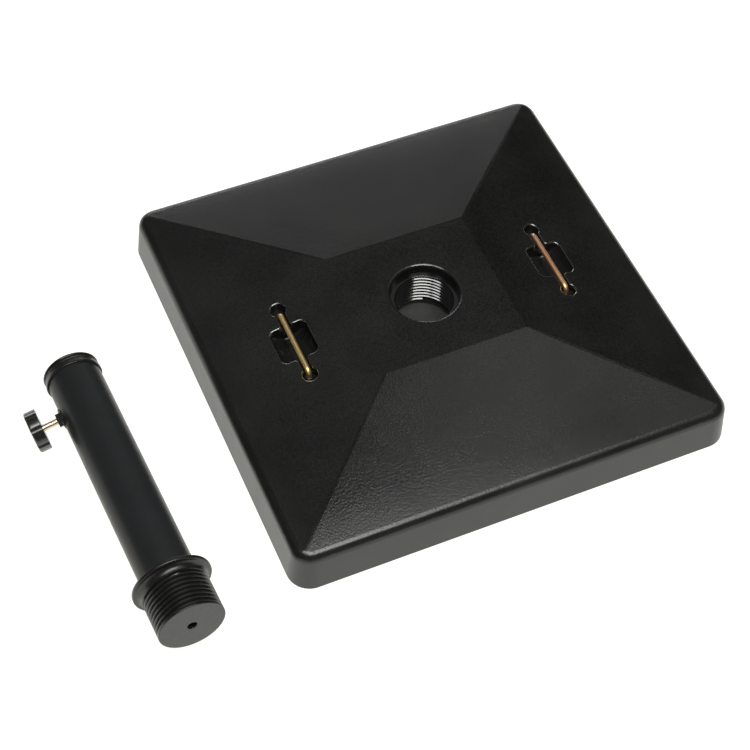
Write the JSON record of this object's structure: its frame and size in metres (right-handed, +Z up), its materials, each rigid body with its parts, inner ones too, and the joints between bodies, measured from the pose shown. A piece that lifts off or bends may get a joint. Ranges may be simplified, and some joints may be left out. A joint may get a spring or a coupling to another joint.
{
  "type": "parasol base",
  "caption": "Square weighted parasol base with pull-up wire handles and a threaded socket, beside the mast tube that screws into it and its clamp knob.",
  "frame": {"origin": "centre of the base's flat underside, on the ground, on the axis of the mast socket", "axes": "+Z up along the mast socket's axis, +Y along the two wire handles, +X to the right; the loose mast tube lies on the ground beside the -X side"},
  "size_m": [0.6897, 0.5161, 0.0832],
  "materials": {
    "casing_plastic": "black, moulded leather grain, semi-gloss",
    "concrete": "grey cast concrete",
    "cover_plastic": "black, fine matt",
    "zinc_steel": "bright zinc plated",
    "socket_plastic": "black, glossy moulded",
    "cup_plastic": "black, plain",
    "bush_plastic": "black, glossy",
    "yellow_zinc": "yellow zinc plated wire",
    "powder_coat": "satin black powder coat",
    "plug_plastic": "black, satin moulded",
    "knob_plastic": "black, satin moulded",
    "pad_plastic": "natural nylon"
  },
  "bodies": {
    "base": {"casing": "casing_plastic", "concrete_core": "concrete", "base_cover": "cover_plastic", "cover_screws": "zinc_steel", "socket_sleeve": "socket_plastic", "socket_cup": "cup_plastic", "left_front_well": "cup_plastic", "left_back_well": "cup_plastic", "right_front_well": "cup_plastic", "right_back_well": "cup_plastic", "left_front_bush": "bush_plastic", "left_back_bush": "bush_plastic", "right_front_bush": "bush_plastic", "right_back_bush": "bush_plastic"},
    "left_handle": {"left_handle": "yellow_zinc"},
    "right_handle": {"right_handle": "yellow_zinc"},
    "mast": {"mast_tube": "powder_coat", "threaded_plug": "plug_plastic", "top_collar": "plug_plastic", "clamp_boss": "powder_coat"},
    "pad": {"pressure_pad": "pad_plastic"},
    "clamp": {"clamp_screw": "yellow_zinc", "knob": "knob_plastic"}
  },
  "joints": [
    {"name": "left_handle_lift", "type": "slide", "parent": "base", "child": "left_handle", "axis": [0, 0, 1], "range_m": [0, 0.032]},
    {"name": "right_handle_lift", "type": "slide", "parent": "base", "child": "right_handle", "axis": [0, 0, 1], "range_m": [0, 0.032]},
    {"name": "tube_lift", "type": "slide", "parent": "base", "child": "mast", "axis": [0, 0, 1], "range_m": [0, 0.4]},
    {"name": "pad_slide", "type": "slide", "parent": "mast", "child": "pad", "axis": [0.9853, 0.0442, 0.1649], "range_m": [0, 0.0161]},
    {"name": "screw_turn", "type": "hinge", "parent": "pad", "child": "clamp", "pos_m": [-0.4131, 0.02288, 0.02588], "axis": [0.9853, 0.0442, 0.1649], "range_deg": [0, 4608]}
  ],
  "couplings": [
    {"joint": "pad_slide", "follows": "screw_turn", "m_per_rad": 0.00019894}
  ]
}
